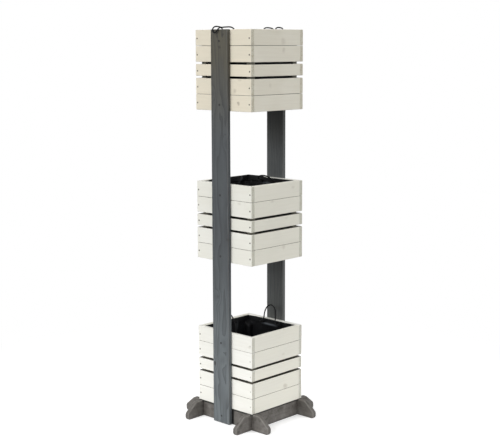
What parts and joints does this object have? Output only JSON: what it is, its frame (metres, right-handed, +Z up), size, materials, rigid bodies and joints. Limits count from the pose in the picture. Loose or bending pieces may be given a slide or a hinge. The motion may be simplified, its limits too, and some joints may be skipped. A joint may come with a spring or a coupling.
{
  "type": "three-tier wooden planter",
  "caption": "Tall floor planter: slatted wooden boxes, one above another, between flat uprights on a crossed board base. Black liners with rope handles lift out.",
  "frame": {"origin": "on the floor, at the middle of the base", "axes": "+Z is up; -Y is the front, where one upright stands, and +Y the back, where the other stands; +X is right"},
  "size_m": [0.45, 0.45, 1.5252],
  "materials": {
    "whitewashed_pine": "thin white wash with the grain showing, satin",
    "grey_stained_pine": "dark blue-grey stain, lighter low down and on eased edges, matt",
    "black_liner": "matt black sheet",
    "black_rope": "matt black cord"
  },
  "bodies": {
    "frame": {"lower_front_board_1": "whitewashed_pine", "lower_front_board_2": "whitewashed_pine", "lower_front_board_3": "whitewashed_pine", "lower_front_board_4": "whitewashed_pine", "lower_front_board_5": "whitewashed_pine", "lower_back_board_1": "whitewashed_pine", "lower_back_board_2": "whitewashed_pine", "lower_back_board_3": "whitewashed_pine", "lower_back_board_4": "whitewashed_pine", "lower_back_board_5": "whitewashed_pine", "middle_front_board_1": "whitewashed_pine", "middle_front_board_2": "whitewashed_pine", "middle_front_board_3": "whitewashed_pine", "middle_front_board_4": "whitewashed_pine", "middle_front_board_5": "whitewashed_pine", "middle_back_board_1": "whitewashed_pine", "middle_back_board_2": "whitewashed_pine", "middle_back_board_3": "whitewashed_pine", "middle_back_board_4": "whitewashed_pine", "middle_back_board_5": "whitewashed_pine", "upper_front_board_1": "whitewashed_pine", "upper_front_board_2": "whitewashed_pine", "upper_front_board_3": "whitewashed_pine", "upper_front_board_4": "whitewashed_pine", "upper_front_board_5": "whitewashed_pine", "upper_back_board_1": "whitewashed_pine", "upper_back_board_2": "whitewashed_pine", "upper_back_board_3": "whitewashed_pine", "upper_back_board_4": "whitewashed_pine", "upper_back_board_5": "whitewashed_pine", "lower_left_side": "whitewashed_pine", "lower_right_side": "whitewashed_pine", "middle_left_side": "whitewashed_pine", "middle_right_side": "whitewashed_pine", "upper_left_side": "whitewashed_pine", "upper_right_side": "whitewashed_pine", "lower_floor": "whitewashed_pine", "middle_floor": "whitewashed_pine", "upper_floor": "whitewashed_pine", "front_upright": "grey_stained_pine", "back_upright": "grey_stained_pine", "base_front_board": "grey_stained_pine", "base_back_board": "grey_stained_pine", "base_left_board": "grey_stained_pine", "base_right_board": "grey_stained_pine"},
    "lower_liner": {"lower_liner": "black_liner"},
    "middle_liner": {"middle_liner": "black_liner"},
    "upper_liner": {"upper_liner": "black_liner"},
    "lower_front_handle": {"lower_front_handle": "black_rope"},
    "lower_back_handle": {"lower_back_handle": "black_rope"},
    "middle_front_handle": {"middle_front_handle": "black_rope"},
    "middle_back_handle": {"middle_back_handle": "black_rope"},
    "upper_front_handle": {"upper_front_handle": "black_rope"},
    "upper_back_handle": {"upper_back_handle": "black_rope"}
  },
  "joints": [
    {"name": "lower_liner_lift", "type": "slide", "parent": "frame", "child": "lower_liner", "axis": [0, 0, 1], "range_m": [0, 0.2]},
    {"name": "middle_liner_lift", "type": "slide", "parent": "frame", "child": "middle_liner", "axis": [0, 0, 1], "range_m": [0, 0.2]},
    {"name": "upper_liner_lift", "type": "slide", "parent": "frame", "child": "upper_liner", "axis": [0, 0, 1], "range_m": [0, 0.3]},
    {"name": "lower_front_handle_swing", "type": "hinge", "parent": "lower_liner", "child": "lower_front_handle", "pos_m": [0, -0.112, 0.3509], "axis": [-1, 0, 0], "range_deg": [-20, 165]},
    {"name": "lower_back_handle_swing", "type": "hinge", "parent": "lower_liner", "child": "lower_back_handle", "pos_m": [0, 0.112, 0.3509], "axis": [1, 0, 0], "range_deg": [-20, 165]},
    {"name": "middle_front_handle_swing", "type": "hinge", "parent": "middle_liner", "child": "middle_front_handle", "pos_m": [0, -0.112, 0.9244], "axis": [-1, 0, 0], "range_deg": [-195, 0]},
    {"name": "middle_back_handle_swing", "type": "hinge", "parent": "middle_liner", "child": "middle_back_handle", "pos_m": [0, 0.112, 0.9244], "axis": [1, 0, 0], "range_deg": [-75, 95]},
    {"name": "upper_front_handle_swing", "type": "hinge", "parent": "upper_liner", "child": "upper_front_handle", "pos_m": [0, -0.112, 1.4979], "axis": [-1, 0, 0], "range_deg": [0, 165]},
    {"name": "upper_back_handle_swing", "type": "hinge", "parent": "upper_liner", "child": "upper_back_handle", "pos_m": [0, 0.112, 1.4979], "axis": [1, 0, 0], "range_deg": [0, 165]}
  ]
}
